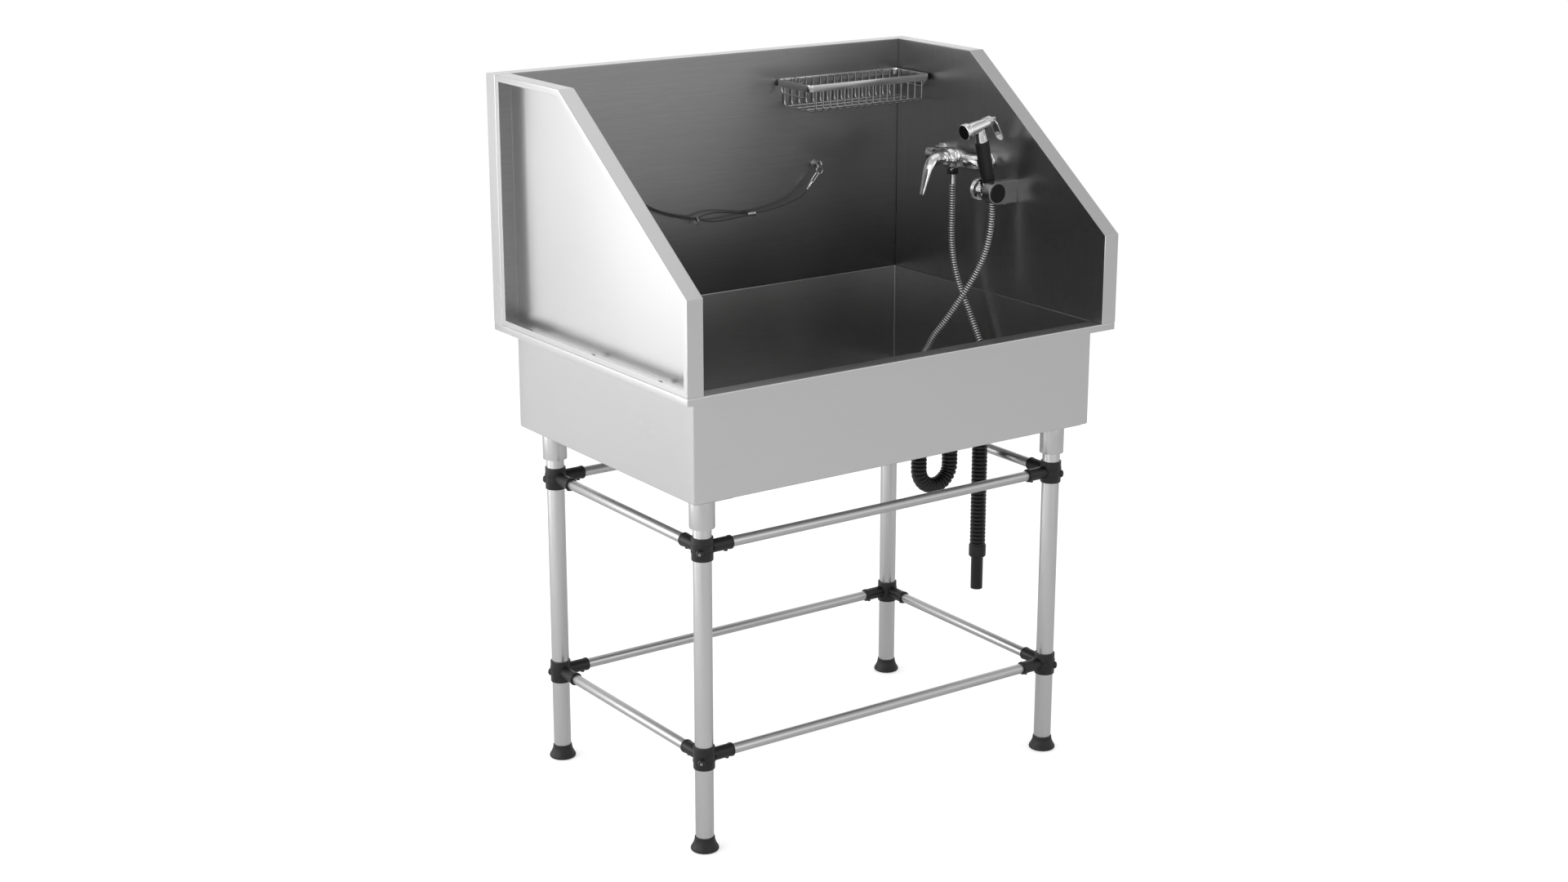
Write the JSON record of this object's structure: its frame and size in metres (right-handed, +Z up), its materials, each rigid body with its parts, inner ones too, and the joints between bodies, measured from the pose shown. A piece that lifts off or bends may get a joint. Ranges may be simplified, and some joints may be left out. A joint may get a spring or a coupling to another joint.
{
  "type": "pet bathtub",
  "caption": "Stainless grooming tub on a braced tubular stand, with splash panels, mixer, hand sprayer, soap basket, tether line and waste pipe.",
  "frame": {"origin": "on the floor, at the centre of the footprint", "axes": "+X to the right of someone who faces the open front, +Y to the back splash panel, +Z up; the open front faces -Y"},
  "size_m": [1, 0.697, 1.4],
  "materials": {
    "steel": "brushed sheet",
    "tube": "satin tube",
    "bright": "polished",
    "fastener": "plain steel",
    "black": "satin black",
    "black_plastic": "moulded, satin",
    "rubber": "matte",
    "cable": "coated wire rope"
  },
  "bodies": {
    "tub": {"basin": "steel", "left_splash_panel": "steel", "right_splash_panel": "steel", "back_splash_panel": "steel", "panel_bolts": "fastener", "leg_front_left": "tube", "leg_front_right": "tube", "leg_back_left": "tube", "leg_back_right": "tube", "leg_sleeves": "tube", "set_screws": "fastener", "feet": "rubber", "upper_clamp_front_left": "black", "upper_clamp_front_right": "black", "upper_clamp_back_left": "black", "upper_clamp_back_right": "black", "lower_clamps": "black", "upper_long_rails": "tube", "upper_short_rails": "tube", "lower_long_rails": "tube", "lower_short_rails": "tube", "drain_flange": "black_plastic", "drain_gasket": "rubber", "drain_locknut": "black_plastic", "drain_tail_nut": "black_plastic", "drain_hose": "black_plastic", "drain_adaptor": "black_plastic", "mixer_body": "bright", "wall_connectors": "bright", "union_nuts": "bright", "connector_backnuts": "fastener", "mixer_collar": "bright", "mixer_cartridge": "black_plastic", "shower_hose": "bright", "hose_mixer_nut": "bright", "holder_block": "tube", "holder_disc": "black_plastic", "holder_cradle": "bright", "holder_knob": "bright", "basket_band": "bright", "basket_wires": "bright", "wall_screws": "fastener", "tether_fixings": "bright", "tether_ring": "bright", "snap_hook": "bright", "tether_cable": "cable", "tether_ferrules": "bright", "slider_ring": "bright"},
    "lever_carrier": {"cartridge_carrier": "black_plastic"},
    "lever": {"mixer_stem": "bright", "mixer_lever": "bright"},
    "sprayer": {"sprayer_body": "bright", "sprayer_cap": "bright", "sprayer_face": "rubber", "sprayer_grip": "rubber", "trigger_pin": "fastener", "hose_cone_nut": "bright"},
    "trigger": {"sprayer_trigger": "bright"},
    "strainer": {"drain_strainer": "bright"},
    "gate": {"snap_gate": "bright"}
  },
  "joints": [
    {"name": "lever_turn", "type": "hinge", "parent": "tub", "child": "lever_carrier", "pos_m": [0.412, 0.08, 1.183], "axis": [-1, 0, 0], "range_deg": [-45, 45]},
    {"name": "lever_tilt", "type": "hinge", "parent": "lever_carrier", "child": "lever", "pos_m": [0.412, 0.08, 1.183], "axis": [0, 1, 0], "range_deg": [0, 25]},
    {"name": "sprayer_lift", "type": "slide", "parent": "tub", "child": "sprayer", "axis": [-0.2334, 0, 0.9724], "range_m": [0, 0.045]},
    {"name": "trigger_squeeze", "type": "hinge", "parent": "sprayer", "child": "trigger", "pos_m": [0.4239, -0.046, 1.2806], "axis": [0, 1, 0], "range_deg": [0, 12], "stiffness_Nm_per_rad": 0.3, "springref_deg": -11.46},
    {"name": "strainer_lift", "type": "slide", "parent": "tub", "child": "strainer", "axis": [0, 0, 1], "range_m": [0, 0.05]},
    {"name": "gate_open", "type": "hinge", "parent": "tub", "child": "gate", "pos_m": [0.22997, 0.2904, 1.1238], "axis": [-0.766, 0, 0.6428], "range_deg": [0, 15], "stiffness_Nm_per_rad": 0.03, "springref_deg": -17.19}
  ]
}
